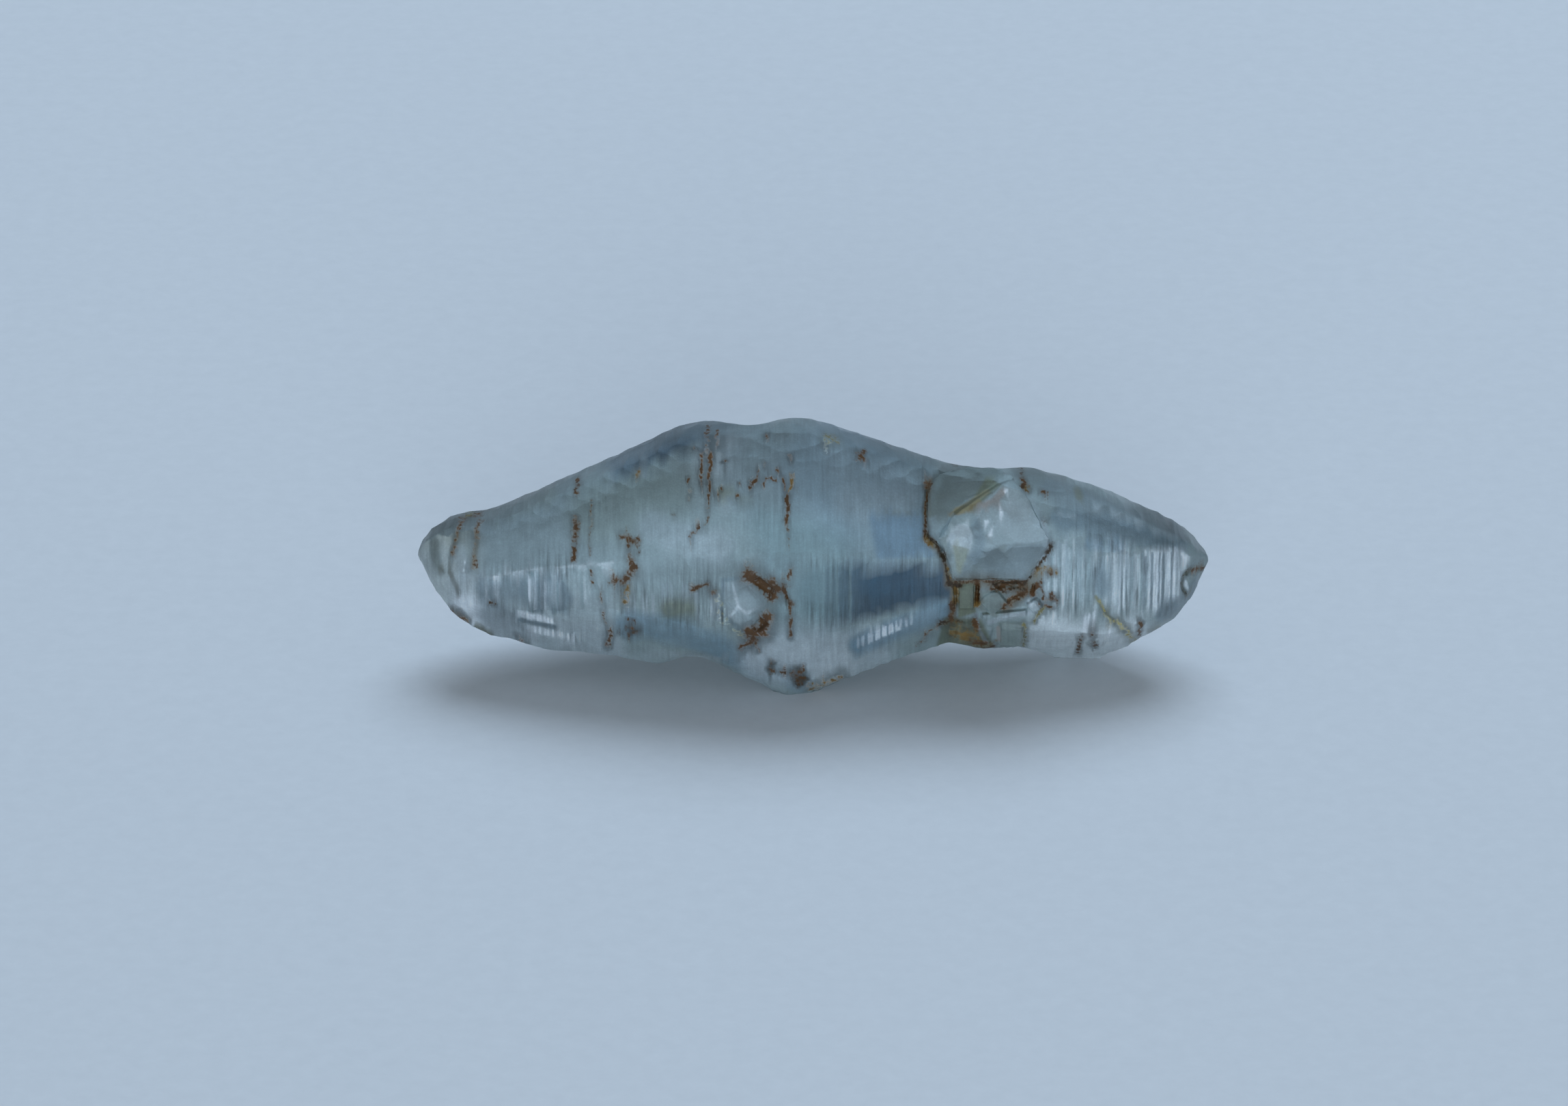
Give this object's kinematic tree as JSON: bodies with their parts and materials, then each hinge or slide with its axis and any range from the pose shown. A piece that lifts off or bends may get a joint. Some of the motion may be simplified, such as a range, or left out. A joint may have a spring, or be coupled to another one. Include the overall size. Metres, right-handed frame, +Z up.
{
  "type": "sapphire crystal",
  "caption": "Rough doubly pointed sapphire crystal, pale blue and translucent, with striated faces and a smaller block grown onto its neck.",
  "frame": {"origin": "under the middle of the crystal, on the surface that it rests on", "axes": "+X along the crystal's long c axis, from the knobbed point to the clean point; +Z up; -Y towards the front, which carries the grown-on block"},
  "size_m": [0.024, 0.008, 0.0083],
  "materials": {
    "sapphire": "translucent pale grey-blue corundum with fine growth striations, frosted faces and rust-brown iron stains in its cracks"
  },
  "bodies": {
    "root": {"sapphire_crystal": "sapphire"}
  },
  "joints": []
}
